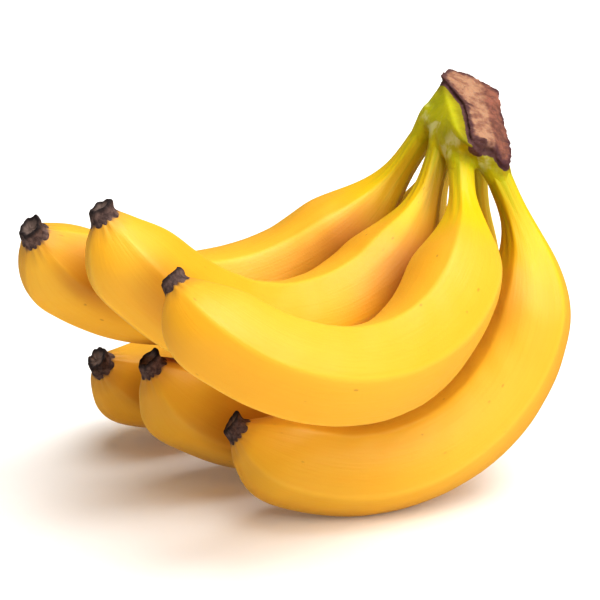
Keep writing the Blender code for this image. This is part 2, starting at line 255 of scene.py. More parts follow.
def polygon(points, middle, normal):
    """Area centre of the polygon of points round a middle, and its corners in order."""
    first = np.cross(normal, [0.3, 0.5, 0.81])
    first /= np.linalg.norm(first)
    second = np.cross(normal, first)
    arms = points - middle
    order = np.argsort(np.arctan2(arms @ second, arms @ first))
    x, y = (arms @ first)[order], (arms @ second)[order]
    after_x, after_y = np.roll(x, -1), np.roll(y, -1)
    area = x * after_y - after_x * y
    centre_x = ((x + after_x) * area).sum() / (3.0 * area.sum())
    centre_y = ((y + after_y) * area).sum() / (3.0 * area.sum())
    return middle + first * centre_x + second * centre_y, points[order]


def sliced(corners, edges, middle, normal):
    """Where a plane cuts the edges of a mesh near a point."""
    side = (corners - middle) @ normal
    one, other = side[edges[:, 0]], side[edges[:, 1]]
    crossed = one * other < 0.0
    share = (one / (one - other + 1e-30))[crossed, None]
    start, end = corners[edges[crossed, 0]], corners[edges[crossed, 1]]
    points = start + share * (end - start)
    return points[np.linalg.norm(points - middle, axis=1) < SLICE_REACH]


def eased(rows):
    """Rows with their small kinks smoothed, the two ends kept."""
    for _ in range(2):
        inner = 0.25 * rows[:-2] + 0.5 * rows[1:-1] + 0.25 * rows[2:]
        rows = np.concatenate([rows[:1], inner, rows[-1:]])
    return rows


def directions_of(centres):
    """Directions of a line of centres, taken over two steps each way."""
    padded = np.concatenate([centres[:1], centres[:1], centres, centres[-1:], centres[-1:]])
    ways = padded[4:] - padded[:-4]
    return ways / np.linalg.norm(ways, axis=1)[:, None]


def march(corners, edges, middle, normal):
    """Step from the root to the tip, from slice to slice."""
    centres = [middle]
    while len(centres) < MOST_SLICES:
        guess = centres[-1] + normal * SLICE_STEP
        points = sliced(corners, edges, guess, normal)
        if len(points) < FEWEST_CROSSED:
            break
        centre = polygon(points, guess, normal)[0]
        normal = 0.5 * normal + 0.5 * (centre - centres[-1]) / np.linalg.norm(centre - centres[-1])
        normal /= np.linalg.norm(normal)
        centres.append(centre)
    return np.array(centres)


def middle_line(node):
    """A finger's centres and widths from root to tip, and the slices they come from."""
    work = merged(node)
    middle, normal = root_end(work)
    corners = np.array([vertex.co[:] for vertex in work.verts])
    work.verts.index_update()
    edges = np.array([[vertex.index for vertex in edge.verts] for edge in work.edges])
    work.free()
    centres = march(corners, edges, middle, normal)
    for _ in range(REFININGS):
        ways = directions_of(eased(centres))
        kept, widths, slices = [middle], [], []
        for centre, way in zip(centres[1:], ways[1:]):
            points = sliced(corners, edges, centre, way)
            if len(points) >= FEWEST_CROSSED:
                better, ordered = polygon(points, centre, way)
                kept.append(better)
                slices.append(ordered)
                widths.append(np.linalg.norm(ordered - better, axis=1).max())
        centres = np.array(kept)
    way = directions_of(eased(centres))[-1]
    beyond = (corners - centres[-1]) @ way
    near = np.linalg.norm(corners - centres[-1], axis=1) < SLICE_REACH
    cap = corners[near & (beyond > beyond[near].max() - 1.5 * MM)]
    tip = polygon(cap, cap.mean(axis=0), way)[0]
    if np.linalg.norm(tip - centres[-1]) < SLICE_STEP / 2.0:
        centres, widths = centres[:-1], widths[:-1]
    centres = np.concatenate([centres, [tip]])
    widths = np.array([widths[0]] + widths + [np.linalg.norm(cap - tip, axis=1).max()])
    return eased(centres), eased(widths), slices


def spline(knots, values, at):
    """A natural cubic spline through values at knots."""
    values = np.asarray(values, float)
    if values.ndim == 1:
        values = values[:, None]
    count = len(knots)
    step = np.diff(knots)
    system = np.zeros((count, count))
    right = np.zeros((count, values.shape[1]))
    system[0, 0] = system[-1, -1] = 1.0
    for row in range(1, count - 1):
        system[row, row - 1] = step[row - 1]
        system[row, row] = 2.0 * (step[row - 1] + step[row])
        system[row, row + 1] = step[row]
        right[row] = 6.0 * ((values[row + 1] - values[row]) / step[row]
                            - (values[row] - values[row - 1]) / step[row - 1])
    bend = np.linalg.solve(system, right)
    span = np.clip(np.searchsorted(knots, at) - 1, 0, count - 2)
    width = step[span][:, None]
    high = (at - knots[span])[:, None] / width
    low = 1.0 - high
    curved = (low ** 3 - low) * bend[span] + (high ** 3 - high) * bend[span + 1]
    return low * values[span] + high * values[span + 1] + curved * width ** 2 / 6.0


def read_finger(name):
    """A finger's middle line, widths and ridge directions, from its CAD skin."""
    centres, widths, slices = middle_line(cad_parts[name])
    knots = np.concatenate([[0.0], np.cumsum(np.linalg.norm(np.diff(centres, axis=0), axis=1))])
    across = np.linalg.svd(centres - centres.mean(axis=0))[2][2]
    chord = centres[-1] - centres[0]
    belly = centres[len(centres) // 2] - (centres[0] + centres[-1]) / 2.0
    if np.cross(across, chord) @ belly > 0.0:
        across = -across
    fullest = int(widths[1:-1].argmax()) + 1
    tangent = centres[fullest + 1] - centres[fullest - 1]
    inner = np.cross(across, tangent / np.linalg.norm(tangent))
    arms = slices[fullest - 1] - centres[fullest]
    turns = np.arctan2(arms @ across, arms @ inner)
    even = np.linspace(-math.pi, math.pi, 360, endpoint=False)
    order = np.argsort(turns)
    reach = np.interp(even, turns[order], np.linalg.norm(arms, axis=1)[order], period=2.0 * math.pi)
    wave = (reach * np.exp(1j * RIDGES * even)).sum()
    return {"name": name, "knots": knots, "centres": centres, "radii": widths, "across": across,
            "length": knots[-1], "phase": math.atan2(wave.imag, wave.real) / RIDGES}


def finger_frame(finger, along):
    """Places, tangents and inner directions of the middle line."""
    inside = np.clip(along, 0.0, finger["length"])
    places = spline(finger["knots"], finger["centres"], inside)
    tiny = 0.2 * MM
    after = np.clip(inside + tiny, 0.0, finger["length"])
    before = np.clip(inside - tiny, 0.0, finger["length"])
    tangents = (spline(finger["knots"], finger["centres"], after)
                - spline(finger["knots"], finger["centres"], before))
    tangents /= np.linalg.norm(tangents, axis=1)[:, None]
    places = places + (along - inside)[:, None] * tangents
    inners = np.cross(finger["across"], tangents)
    return places, tangents, inners


# ---------------------------------------------------------------- meshes

def skin_mesh(name, points):
    """A closed tube skin through a grid of points, rings by sides."""
    rings, sides = points.shape[:2]
    vertices = points.reshape(-1, 3)
    ring = np.arange(rings - 1)[:, None] * sides
    side = np.arange(sides)[None, :]
    after = (side + 1) % sides
    quads = np.stack([ring + side, ring + after, ring + sides + after, ring + sides + side],
                     axis=-1).reshape(-1, 4)
    faces = quads.tolist()
    faces.append(list(range(sides))[::-1])
    last = (rings - 1) * sides
    faces.append([last + corner for corner in range(sides)])
    mesh = bpy.data.meshes.new(name)
    mesh.from_pydata(vertices.tolist(), [], faces)
    mesh.update()
    mesh.shade_smooth()
    return mesh


def store(mesh, name, values):
    """Keep a number or a vector for each corner of a mesh."""
    values = np.asarray(values, np.float32)
    if values.ndim == 1:
        mesh.attributes.new(name, "FLOAT", "POINT").data.foreach_set("value", values)
    else:
        kept = mesh.attributes.new(name, "FLOAT_VECTOR", "POINT")
        kept.data.foreach_set("vector", values.ravel())


def show(mesh, material, node):
    """Put a mesh in the scene as the visible piece for one CAD node."""
    made = bpy.data.objects.new(mesh.name, mesh)
    bpy.context.scene.collection.objects.link(made)
    mesh.materials.append(material)
    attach(made, "root")
    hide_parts(node)
    return made


# ---------------------------------------------------------------- fingers

def waves(chance, along, around, count, longest, shortest, most_turns):
    """A sum of smooth random waves over a finger, about -1 to 1."""
    total = np.zeros(np.broadcast(along, around).shape)
    for _ in range(count):
        length = chance.uniform(shortest, longest)
        turns = chance.integers(0, most_turns + 1)
        total += np.cos(2.0 * math.pi * along / length + turns * around
                        + chance.uniform(0.0, 2.0 * math.pi))
    return total / math.sqrt(count)


def five_flats(turns, ridge_turns):
    """Reach of a rounded five-sided section over the reach of its ridges."""
    total = np.zeros_like(turns)
    next_turns = np.append(ridge_turns[1:], ridge_turns[0] + 2.0 * math.pi)
    for first, second in zip(ridge_turns, next_turns):
        middle = (first + second) / 2.0
        half = (second - first) / 2.0
        total += np.clip(np.cos(turns - middle) / math.cos(half), 0.0, None) ** ROUNDING
    return total ** (-1.0 / ROUNDING)


def finger_skin(finger, seed):
    """The fine skin of a finger: points, and what its peel needs to know."""
    chance = np.random.default_rng(seed)
    length = finger["length"]
    share = np.linspace(0.0, 1.0, FINGER_RINGS)
    along = -ROOT_OVERLAP + (length + ROOT_OVERLAP) * share
    places, _, inners = finger_frame(finger, along)
    radii = spline(finger["knots"], finger["radii"], np.clip(along, 0.0, length))[:, 0]
    turns = np.linspace(0.0, 2.0 * math.pi, FINGER_SIDES, endpoint=False)
    away = along[:, None] * np.ones_like(turns)[None, :]
    around = np.ones_like(along)[:, None] * turns[None, :]

    left = length - away
    full = smooth((radii - THIN_RADIUS) / FULLER_BY)[:, None]
    body_start = smooth((away - BODY_START) / BODY_BLEND)
    neck = body_start * (1.0 - smooth((away - NECK_END) / NECK_BLEND))
    flatness = PEDICEL_FLATNESS * (1.0 - body_start) + BODY_FLATNESS * body_start
    flatness = flatness + (NECK_FLATNESS - BODY_FLATNESS) * neck
    flatness = flatness * (1.0 - TIP_ROUNDER * smooth(1.0 - left / TIP_ROUNDER_FROM))

    ridge_turns = finger["phase"] + 2.0 * math.pi * np.arange(RIDGES) / RIDGES
    ridge_turns = ridge_turns + chance.uniform(-RIDGE_JITTER, RIDGE_JITTER, RIDGES)
    twist = TWIST * waves(chance, away, 0.0, 3, 0.25, 0.12, 0)
    flats = five_flats(around + twist, ridge_turns)
    reach = radii[:, None] * (1.0 - flatness * (1.0 - flats)) + SWELLING * full

    from_ridge = np.full_like(around, 10.0)
    for ridge in ridge_turns:
        gap = np.abs((around + twist - ridge + math.pi) % (2.0 * math.pi) - math.pi)
        from_ridge = np.minimum(from_ridge, gap)
    crest = bell(from_ridge / CREST_WIDTH)
    worn = 0.55 + 0.45 * waves(chance, away, around, 4, 0.06, 0.02, 2)
    fading = smooth((away - RIDGE_START) / RIDGE_START_BLEND) * smooth(left / RIDGE_STOP_BLEND)
    reach += RIDGE_LINE * crest * np.clip(worn, 0.0, 1.2) * fading
    reach -= HOLLOW_DEPTH * bell(from_ridge / HOLLOW_WIDTH - 1.0) * fading

    reach += LUMP_HEIGHT * full * waves(chance, away, around, 7, 0.11, 0.045, 3)
    reach += RIPPLE_HEIGHT * full * waves(chance, away, around, 9, 0.03, 0.012, 9)
    stalk = 1.0 - smooth((away - FURROW_END) / FURROW_BLEND)
    reach += FURROW_HEIGHT * stalk * waves(chance, away, around, 8, 0.05, 0.02, 14)

    for _ in range(DENTS):
        spot = chance.uniform(35.0 * MM, length - 25.0 * MM)
        turn = chance.uniform(0.0, 2.0 * math.pi)
        wide = chance.uniform(3.0, 8.0) * MM
        gap = np.abs((around - turn + math.pi) % (2.0 * math.pi) - math.pi) * radii[:, None]
        depth = chance.uniform(0.10, 0.32) * MM
        reach -= depth * bell(gap / wide) * bell((away - spot) / (1.6 * wide))

    outer = np.square((1.0 - np.cos(around)) / 2.0)
    bulge = bell((left - TIP_BULGE_AT) / TIP_BULGE_WIDTH)
    reach += TIP_BULGE * outer * bulge * smooth(left / (5.0 * MM))
    pucker = smooth(1.0 - left / PUCKER_FROM)
    reach += PUCKER_HEIGHT * pucker * np.cos(11.0 * around + 2.0 * np.sin(3.0 * around) + seed)
    reach *= 1.0 + PUCKER_SWELLING * pucker

    directions = (np.cos(around)[..., None] * inners[:, None, :]
                  + np.sin(around)[..., None] * finger["across"][None, None, :])
    points = places[:, None, :] + reach[..., None] * directions
    return points, along, turns, crest * fading


def tree_of(points):
    """A search tree over a tube skin given as rings by sides."""
    rings, sides = points.shape[:2]
    faces = []
    for ring in range(rings - 1):
        for side in range(sides):
            after = (side + 1) % sides
            faces.append((ring * sides + side, ring * sides + after,
                          (ring + 1) * sides + after, (ring + 1) * sides + side))
    return BVHTree.FromPolygons([tuple(point) for point in points.reshape(-1, 3)], faces)


def press(skins):
    """Press neighbouring skins together where they nearly touch, as lying fruit does.

    Also says how far each point then is from the neighbour it faces, for the painted shade in the
    creases.
    """
    trees = {name: tree_of(points) for name, (points, _, _, _) in skins.items()}
    boxes = {name: (points.min(axis=(0, 1)) - CREASE_REACH, points.max(axis=(0, 1)) + CREASE_REACH)
             for name, (points, _, _, _) in skins.items()}
    moved = {}
    for name, (points, along, turns, crest) in skins.items():
        flat = points.reshape(-1, 3)
        outward = (points - points.mean(axis=1, keepdims=True)).reshape(-1, 3)
        outward /= np.linalg.norm(outward, axis=1, keepdims=True) + 1e-9
        shift = np.zeros_like(flat)
        crease = np.full(len(flat), CREASE_REACH)
        free = np.repeat(along > TOUCH_ROOT, len(turns))
        for other, tree in trees.items():
            if other == name:
                continue
            low, high = boxes[other]
            close = np.all((flat > low) & (flat < high), axis=1)
            for index in np.flatnonzero(close):
                spot, _, _, gap = tree.find_nearest(Vector(flat[index]), CREASE_REACH)
                if spot is None or gap < 1e-6:
                    continue
                way = (np.array(spot) - flat[index]) / gap
                moves = 0.0
                if free[index] and gap < TOUCH_NONE:
                    share = 1.0 - (gap - TOUCH_FULL) / (TOUCH_NONE - TOUCH_FULL)
                    share = min(max(share, 0.0), 1.0)
                    share = share * share * (3.0 - 2.0 * share)
                    moves = 0.5 * min(gap, TOUCH_FULL) * share
                    shift[index] += way * moves
                facing = min(max((way @ outward[index] - FACING_FROM) / FACING_SPAN, 0.0), 1.0)
                left = CREASE_REACH - (CREASE_REACH - gap + 2.0 * moves) * facing
                crease[index] = min(crease[index], max(left, 0.0))
        moved[name] = ((flat + shift).reshape(points.shape), along, turns, crest, crease)
    return moved


def make_finger(finger, seed, skin, material):
    """A finger's visible skin, with what its peel needs stored on it."""
    points, along, turns, crest, crease = skin
    mesh = skin_mesh("skin_" + finger["name"], points)
    rings, sides = points.shape[:2]
    away = np.repeat(along, sides)
    around = np.tile(turns, rings)
    peel = np.stack([GIRTH * np.cos(around) + 0.3 * seed, GIRTH * np.sin(around), away], axis=1)
    store(mesh, "peel", peel / MM)
    ends = np.stack([away, finger["length"] - away, np.zeros_like(away)], axis=1) / MM
    store(mesh, "ends", ends)
    store(mesh, "crest", crest.ravel())
    store(mesh, "crease", crease / CREASE_REACH)
    return show(mesh, material, finger["name"])


# ---------------------------------------------------------------- blossom stubs

def stub_points(finger, seed, horns):
    """A dried blossom stub: a wrinkled, flared cup whose rim has pointed corners."""
    chance = np.random.default_rng(100 + seed)
    length = finger["length"]
    places, tangents, inners = finger_frame(finger, np.array([length]))
    base, outward, inner = places[0], tangents[0], inners[0]
    across = finger["across"]
    turns = np.linspace(0.0, 2.0 * math.pi, STUB_SIDES, endpoint=False)
    rim = np.zeros_like(turns)
    for turn, height, width in horns:
        gap = np.abs((turns - math.radians(turn) + math.pi) % (2.0 * math.pi) - math.pi)
        rim += height * np.exp(-np.square(gap / math.radians(width)))
    lobes = 0.045 * np.cos(5.0 * turns + chance.uniform(0, 6))
    lobes = lobes + 0.035 * np.cos(8.0 * turns + chance.uniform(0, 6))
    # Height in mm, and width over the stub's radius: up the skirt, over the rim and into the cup.
    profile = (
        (-2.0, 1.22), (-1.2, 1.22), (-0.5, 1.14), (0.1, 1.07), (0.8, 1.02), (1.6, 0.99),
        (2.4, 0.98), (3.1, 0.98), (3.8, 0.96), (4.2, 0.88), (4.1, 0.76), (3.7, 0.60),
        (3.3, 0.42), (3.1, 0.24), (3.2, 0.07))
    heights = np.array([point[0] for point in profile]) * MM
    widths = np.array([point[1] for point in profile]) * STUB_RADIUS_MM * MM
    knots = np.linspace(0.0, 1.0, len(profile))
    at = np.linspace(0.0, 1.0, STUB_RINGS)
    height = spline(knots, heights, at)[:, 0]
    width = spline(knots, widths, at)[:, 0]
    lift = smooth(height / STUB_HEIGHT)[:, None]
    inside = smooth((at - 0.62) / 0.30)[:, None]
    rise = height[:, None] + HORN_SHARE * rim[None, :] * MM * lift * (1.0 - 0.85 * inside)
    wide = width[:, None] * (1.0 + lobes[None, :] * (0.4 + lift))
    furrow = waves(chance, rise, turns[None, :], 10, 0.02, 0.006, 26)
    wide = wide + STUB_FURROW * furrow * (1.0 - inside) * (0.25 + 0.75 * lift)
    rise = rise + STUB_RAGGED * waves(chance, wide, turns[None, :], 8, 0.006, 0.003, 9) * lift
    lean = STUB_LEAN * inner
    directions = np.cos(turns)[:, None] * inner + np.sin(turns)[:, None] * across
    points = (base + rise[..., None] * (outward + lean * lift[..., None])
              + wide[..., None] * directions[None, :, :])
    return points, rise, inside


def make_stub(finger, seed, horns, material):
    """A finger's visible blossom stub."""
    points, rise, inside = stub_points(finger, seed, horns)
    mesh = skin_mesh("stub_" + finger["name"], points)
    store(mesh, "height", (rise / (4.4 * MM)).ravel())
    store(mesh, "cup", np.broadcast_to(inside, rise.shape).ravel())
    node = finger["name"].replace("finger", "blossom_tip")
    return show(mesh, material, node)


# ---------------------------------------------------------------- crown

def cut_height(x, y, raised):
    """Height over the crown's middle of a point on the cut, raised by so much."""
    return (CUT_PLANE + raised - CUT_SLOPE_X * x + CUT_SLOPE_Y * y) / CUT_UP


def dried_pieces():
    """The corners of the dried cap's two parts and two teeth, from the crown's middle."""
    inner = ((-2.4, 20.5), (-2.2, 9.0), (-2.6, 2.1))
    lower_inner = ((-2.6, 2.1), (-6.2, -6.1), (-10.6, -15.5), (-12.6, -20.0))
    ridge = ((4.0, 25.0), (13.0, 21.5), (8.3, 0.4))
    lower_ridge = ((8.3, 0.4), (-3.0, -21.5))
    upper = [(x, y, cut_height(x, y, CAP_RAISED)) for x, y in inner + ridge]
    upper += [(x + 1.0, y, cut_height(x, y, CAP_BOTTOM)) for x, y in inner]
    upper += [(19.6, 12.6, 7.6), (15.0, 1.5, 1.0), (14.5, 10.0, 0.0), (8.0, 24.0, 6.0),
              (3.0, -3.0, -2.0)]
    lower = [(x, y, cut_height(x, y, CAP_RAISED)) for x, y in lower_inner + lower_ridge]
    lower += [(x + 1.0, y, cut_height(x, y, CAP_BOTTOM)) for x, y in lower_inner]
    lower += [(15.0, 1.5, 1.0), (9.8, -7.0, -3.6), (5.4, -20.0, -6.4), (-1.0, -23.5, -6.0),
              (8.0, 4.0, -2.0)]
    first_tooth = [(-10.4, -15.0, 3.6), (-12.4, -19.3, 2.2), (-12.9, -20.9, -3.6),
                   (-11.6, -22.4, -4.6), (-7.4, -22.4, 0.8), (-7.2, -22.8, -1.6),
                   (-9.0, -16.0, 0.0)]
    second_tooth = [(-4.6, -22.6, -2.6), (4.8, -19.0, -3.2), (5.0, -21.0, -7.0),
                    (-0.4, -25.6, -10.6), (1.6, -25.4, -10.8), (-3.6, -24.6, -7.0),
                    (1.0, -18.0, -8.0), (-1.0, -19.0, -1.0)]
    return [np.array(piece) * MM for piece in (upper, lower, first_tooth, second_tooth)]


def hull_of(points, middle):
    """The convex hull of points, moved so that they lie round a middle."""
    work = bmesh.new()
    for point in points:
        work.verts.new(Vector(point) + middle)
    hull = bmesh.ops.convex_hull(work, input=work.verts)
    loose = {item for item in hull["geom_interior"] + hull["geom_unused"]
             if isinstance(item, bmesh.types.BMVert)}
    bmesh.ops.delete(work, geom=list(loose), context="VERTS")
    bmesh.ops.recalc_face_normals(work, faces=work.faces)
    return work


def depth_in(points, pieces, middle, sides_only=False):
    """How deep points lie inside the nearest of some convex pieces; negative is outside.

    With sides_only, the faces that look out with the cut or the bevel don't count.
    """
    best = np.full(len(points), -1.0)
    for piece in pieces:
        work = hull_of(piece, middle)
        outside = np.full(len(points), -1.0)
        for face in work.faces:
            looks_out = (face.normal @ CUT_NORMAL > FACES_CUT
                         or face.normal @ BEVEL_SIDE > FACES_BEVEL)
            if not (sides_only and looks_out):
                normal = np.array(face.normal)
                outside = np.maximum(outside, (points - np.array(face.verts[0].co)) @ normal)
        work.free()
        best = np.maximum(best, -outside)
    return best


def crown_body():
    """The CAD crown without the seats bored into it."""
    work = merged(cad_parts["crown"])
    points = [vertex.co.copy() for vertex in work.verts]
    work.free()
    return hull_of(points, Vector())


def root_skin(finger):
    """A pedicel's root, swelling into the crown."""
    turns = np.linspace(0.0, 2.0 * math.pi, ROOT_SIDES, endpoint=False)
    along = np.linspace(-3.5, 17.0, ROOT_RINGS) * MM
    places, _, inners = finger_frame(finger, along)
    radius = 5.35 * MM + 1.3 * MM * (1.0 - smooth((along + 1.0 * MM) / (10.0 * MM)))
    radius -= 1.5 * MM * smooth((along - 6.0 * MM) / (11.0 * MM))
    points = places[:, None, :] + radius[:, None, None] * (
        np.cos(turns)[None, :, None] * inners[:, None, :]
        + np.sin(turns)[None, :, None] * finger["across"][None, None, :])
    return skin_mesh("root", points)


def grown(name, solids, voxel, smoothings):
    """One skin grown over several overlapping solids and smoothed."""
    joined = bmesh.new()
    for solid in solids:
        joined.from_mesh(solid)
    bmesh.ops.recalc_face_normals(joined, faces=joined.faces)
    mesh = bpy.data.meshes.new(name)
    joined.to_mesh(mesh)
    joined.free()
    holder = bpy.data.objects.new(name, mesh)
    bpy.context.scene.collection.objects.link(holder)
    remesh = holder.modifiers.new("grow", "REMESH")
    remesh.mode = "VOXEL"
    remesh.voxel_size = voxel
    relax = holder.modifiers.new("relax", "SMOOTH")
    relax.factor = 0.5
    relax.iterations = smoothings
    graph = bpy.context.evaluated_depsgraph_get()
    skin = bpy.data.meshes.new_from_object(holder.evaluated_get(graph))
    bpy.data.objects.remove(holder)
    skin.name = name
    skin.shade_smooth()
    return skin


def as_mesh(work):
    """A mesh from a working one, which is freed."""
    mesh = bpy.data.meshes.new("piece")
    work.to_mesh(mesh)
    work.free()
    return mesh


def crown_skin(fingers, middle):
    """The soft green body first, then the crisp dried cap on it."""
    soft = grown("soft_crown", [as_mesh(crown_body())] + [root_skin(finger) for finger in fingers],
                 SOFT_VOXEL, SOFT_SMOOTHINGS)
    cap = [as_mesh(hull_of(piece, middle)) for piece in dried_pieces()]
    return grown("skin_crown", [soft] + cap, CROWN_VOXEL, CAP_SMOOTHINGS)


def rough(points, size, octaves):
    """Fractal noise at points, with lumps of about that size."""
    return np.array([noise.fractal(Vector(point / size), 1.0, 2.0, octaves) for point in points])


def store_pedicels(mesh, fingers, co):
    """Keep for each corner its place on the nearest pedicel, as on the fingers' own skins."""
    nearest = np.full(len(co), 1.0)
    peel = np.zeros((len(co), 3))
    away = np.zeros(len(co))
    for seed, finger in enumerate(fingers, 1):
        along = np.linspace(-16.0, 22.0, 77) * MM
        places, _, inners = finger_frame(finger, along)
        gaps = np.linalg.norm(co[:, None, :] - places[None, :, :], axis=2)
        index = gaps.argmin(axis=1)
        gap = gaps[np.arange(len(co)), index]
        arms = co - places[index]
        turns = np.arctan2(arms @ finger["across"], (arms * inners[index]).sum(axis=1))
        here = gap < nearest
        nearest[here] = gap[here]
        away[here] = along[index][here]
        local = np.stack([GIRTH * np.cos(turns) + 0.3 * seed, GIRTH * np.sin(turns), along[index]],
                         axis=1)
        peel[here] = local[here]
    store(mesh, "peel", peel / MM)
    store(mesh, "from_root", away / MM)


def make_crown(fingers, material):
    """The crown's visible skin: green body, pedicel roots and dried cap."""
    low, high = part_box("crown")
    middle = (low + high) / 2.0
    skin = crown_skin(fingers, middle)
    co = np.zeros(len(skin.vertices) * 3)
    skin.vertices.foreach_get("co", co)
    co = co.reshape(-1, 3)
    normals = np.array([vertex.normal[:] for vertex in skin.vertices])
    ragged = RAGGED * rough(co, 2.6 * MM, 3)
    dried = depth_in(co, dried_pieces(), middle) + DRIED_MARGIN + ragged
    inside = depth_in(co, dried_pieces(), middle, sides_only=True) + 2.0 * ragged
    brown = smooth((dried + 0.3 * MM) / (0.6 * MM))
    rim = bell((inside - 0.6 * MM) / (0.9 * MM))
    lift = brown * (0.55 * MM * rough(co, 4.2 * MM, 4) + 0.20 * MM * rough(co + 1.0, 1.3 * MM, 3))
    lift += 0.22 * MM * rim * brown + (1.0 - brown) * 0.12 * MM * rough(co, 3.0 * MM, 2)
    co = co + normals * lift[:, None]
    skin.vertices.foreach_set("co", co.ravel())
    skin.update()
    store(skin, "dried", dried / MM)
    store(skin, "inside", inside / MM)
    store_pedicels(skin, fingers, co)
    across = (co - np.array(middle)) @ np.array(BEVEL_SIDE) / MM
    store(skin, "outer", across)
    return show(skin, material, "crown")


# ---------------------------------------------------------------- materials

class Shader:
    """Short calls for building one material's nodes."""

    def __init__(self, name):
        self.material = bpy.data.materials.new(name)
        self.material.use_nodes = True
        self.tree = self.material.node_tree
        self.main = self.tree.nodes["Principled BSDF"]

    def feed(self, socket, value):
        if isinstance(value, bpy.types.NodeSocket):
            self.tree.links.new(value, socket)
        elif isinstance(value, tuple) and len(value) == 3 and socket.type == "RGBA":
            socket.default_value = (*value, 1.0)
        else:
            socket.default_value = value

    def attribute(self, name, output="Fac"):
        node = self.tree.nodes.new("ShaderNodeAttribute")
        node.attribute_name = name
        return node.outputs[output]

    def math(self, operation, first, second=0.0, third=0.0):
        node = self.tree.nodes.new("ShaderNodeMath")
        node.operation = operation
        self.feed(node.inputs[0], first)
        self.feed(node.inputs[1], second)
        self.feed(node.inputs[2], third)
        return node.outputs[0]

    def span(self, value, low, high, to_low=0.0, to_high=1.0):
        node = self.tree.nodes.new("ShaderNodeMapRange")
        node.interpolation_type = "SMOOTHSTEP"
        self.feed(node.inputs["Value"], value)
        for key, number in (("From Min", low), ("From Max", high),
                            ("To Min", to_low), ("To Max", to_high)):
            self.feed(node.inputs[key], number)
        return node.outputs["Result"]

    def vector(self, operation, first, second):
        node = self.tree.nodes.new("ShaderNodeVectorMath")
        node.operation = operation
        self.feed(node.inputs[0], first)
        self.feed(node.inputs[1], second)
        return node.outputs[0]

    def noise(self, where, scale, detail=3.0, rough=0.5, warp=0.0):
        node = self.tree.nodes.new("ShaderNodeTexNoise")
        self.feed(node.inputs["Vector"], where)
        self.feed(node.inputs["Scale"], scale)
        self.feed(node.inputs["Detail"], detail)
        self.feed(node.inputs["Roughness"], rough)
        self.feed(node.inputs["Distortion"], warp)
        return node.outputs["Fac"]

    def cells(self, where, scale):
        node = self.tree.nodes.new("ShaderNodeTexVoronoi")
        self.feed(node.inputs["Vector"], where)
        self.feed(node.inputs["Scale"], scale)
        return node.outputs["Distance"]

    def mix(self, share, first, second):
        node = self.tree.nodes.new("ShaderNodeMix")
        node.data_type = "RGBA"
        node.clamp_factor = True
        self.feed(node.inputs["Factor"], share)
        self.feed(node.inputs[6], first)
        self.feed(node.inputs[7], second)
        return node.outputs[2]

    def bump(self, height, distance, strength=1.0, under=None):
        node = self.tree.nodes.new("ShaderNodeBump")
        self.feed(node.inputs["Strength"], strength)
        self.feed(node.inputs["Distance"], distance)
        self.feed(node.inputs["Height"], height)
        if under is not None:
            self.feed(node.inputs["Normal"], under)
        return node.outputs["Normal"]

    def split(self, value):
        node = self.tree.nodes.new("ShaderNodeSeparateXYZ")
        self.feed(node.inputs[0], value)
        return node.outputs

    def place(self):
        node = self.tree.nodes.new("ShaderNodeTexCoord")
        return node.outputs["Object"]

    def set(self, **values):
        for key, value in values.items():
            self.feed(self.main.inputs[key.replace("_", " ")], value)


def neck_colour(made, peel, from_root, colour):
    """Lime yellow at the neck, greener towards the crown."""
    wander = made.math("MULTIPLY_ADD", made.noise(peel, 0.10, 3.0), 14.0, -7.0)
    down = made.math("ADD", from_root, wander)
    colour = made.mix(made.span(down, 32.0, 58.0, 1.0, 0.0), colour, NECK_GOLD)
    colour = made.mix(made.span(down, 12.0, 42.0, 0.92, 0.0), colour, NECK_LEMON)
    colour = made.mix(made.span(down, 0.0, 22.0, 0.85, 0.0), colour, NECK_LIME)
    streak = made.noise(made.vector("MULTIPLY", peel, (1.0, 1.0, 0.06)), 0.22, 2.0, 0.4)
    green = made.math("MULTIPLY", made.span(streak, 0.42, 0.72),
                      made.span(down, 14.0, 58.0, 0.45, 0.0))
    return made.mix(green, colour, NECK_STREAK)


